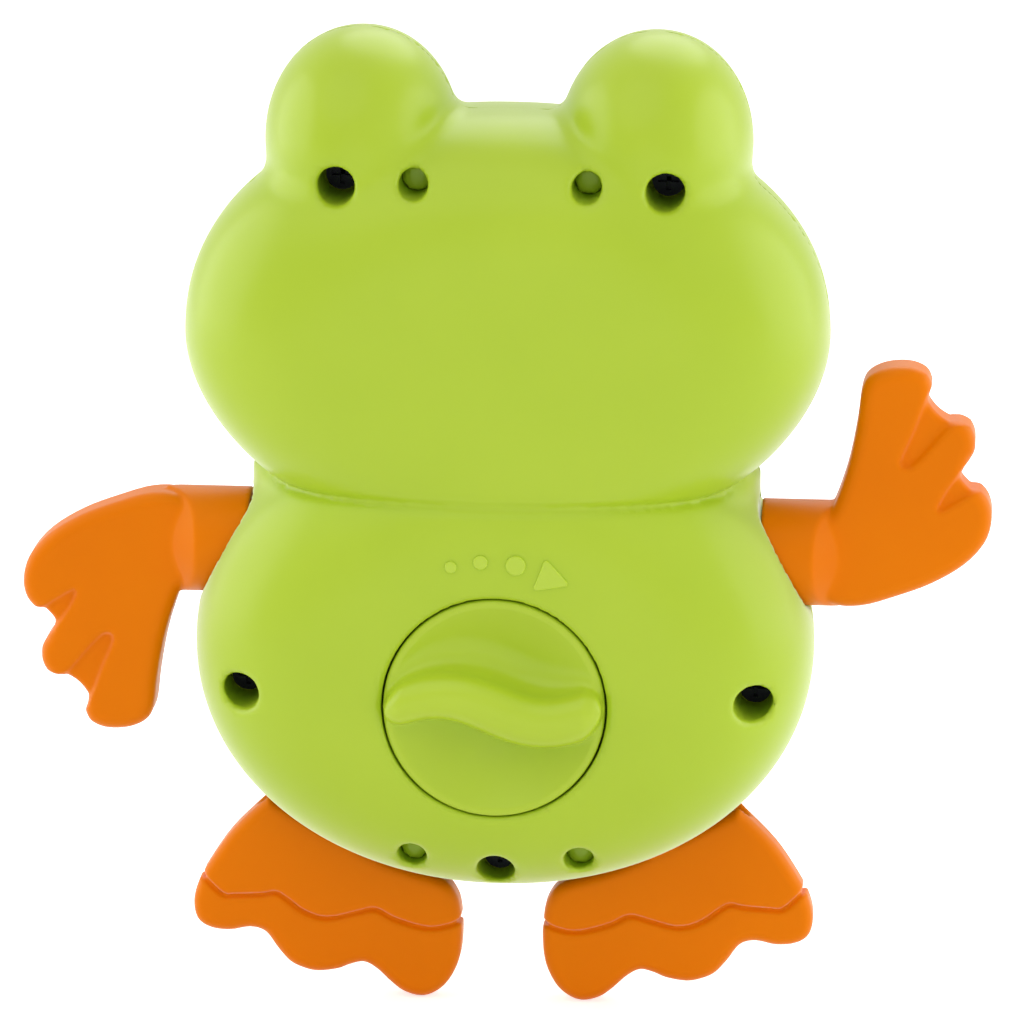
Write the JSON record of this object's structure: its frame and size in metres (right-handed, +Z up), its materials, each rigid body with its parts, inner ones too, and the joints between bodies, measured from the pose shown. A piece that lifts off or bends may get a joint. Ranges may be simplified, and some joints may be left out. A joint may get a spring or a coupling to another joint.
{
  "type": "wind-up bath toy",
  "caption": "Clockwork swimming frog for the bath: two-shell casing, arms that crawl round on one axle, a dished winding key in its back and two swinging feet.",
  "frame": {"origin": "on the middle plane, on the parting plane of the two shells, level with the tips of the toes", "axes": "+Z up through the head, +Y out of the belly and face, -Y out of the back with the key, +X to the right as seen from the back"},
  "size_m": [0.126, 0.0478, 0.129],
  "materials": {
    "green_plastic": "injection-moulded ABS, lime green, soft gloss",
    "orange_plastic": "injection-moulded plastic, orange, soft gloss",
    "white_plastic": "injection-moulded ABS, white, gloss",
    "black_plastic": "injection-moulded ABS, black, gloss",
    "zinc_steel": "zinc-plated self-tapping screws",
    "steel": "stainless steel, drawn",
    "brass": "turned or stamped brass",
    "rubber": "nitrile rubber, matte",
    "white_gear_plastic": "acetal gear plastic, natural white",
    "case_plastic": "injection-moulded ABS motor case, off-white"
  },
  "bodies": {
    "casing": {"front_shell": "green_plastic", "back_shell": "green_plastic", "left_eye": "white_plastic", "right_eye": "white_plastic", "left_pupil": "black_plastic", "right_pupil": "black_plastic", "shell_screws": "zinc_steel", "key_seal": "rubber", "mainspring": "steel", "crown_pin": "steel", "motor_case": "case_plastic", "motor_cover": "case_plastic", "motor_gasket": "rubber", "motor_screws": "zinc_steel", "left_bush": "brass", "right_bush": "brass", "left_axle_seal": "rubber", "right_axle_seal": "rubber", "left_foot_pin": "steel", "right_foot_pin": "steel"},
    "key_group": {"winding_key": "green_plastic", "key_arbor": "steel", "great_wheel": "brass", "ratchet_wheel": "steel", "click": "steel"},
    "crown": {"crown_wheel": "white_gear_plastic"},
    "arms": {"arm_axle": "steel", "drive_pinion": "white_gear_plastic", "left_arm": "orange_plastic", "right_arm": "orange_plastic"},
    "left_flipper": {"left_foot": "orange_plastic"},
    "right_flipper": {"right_foot": "orange_plastic"}
  },
  "joints": [
    {"name": "arms_turn", "type": "hinge", "parent": "casing", "child": "arms", "pos_m": [0, 0, 0.061], "axis": [-1, 0, 0], "continuous": true},
    {"name": "crown_turn", "type": "hinge", "parent": "casing", "child": "crown", "pos_m": [0, 0, 0.061], "axis": [0, 1, 0], "continuous": true},
    {"name": "key_turn", "type": "hinge", "parent": "casing", "child": "key_group", "pos_m": [0, 0, 0.0442], "axis": [0, 1, 0], "continuous": true},
    {"name": "left_foot_swing", "type": "hinge", "parent": "casing", "child": "left_flipper", "pos_m": [-0.021, 0, 0.0265], "axis": [1, 0, 0], "range_deg": [-12, 12]},
    {"name": "right_foot_swing", "type": "hinge", "parent": "casing", "child": "right_flipper", "pos_m": [0.021, 0, 0.0265], "axis": [1, 0, 0], "range_deg": [-12, 12]}
  ],
  "couplings": [
    {"joint": "crown_turn", "follows": "arms_turn", "ratio": 0.33333},
    {"joint": "key_turn", "follows": "arms_turn", "ratio": -0.10417}
  ]
}
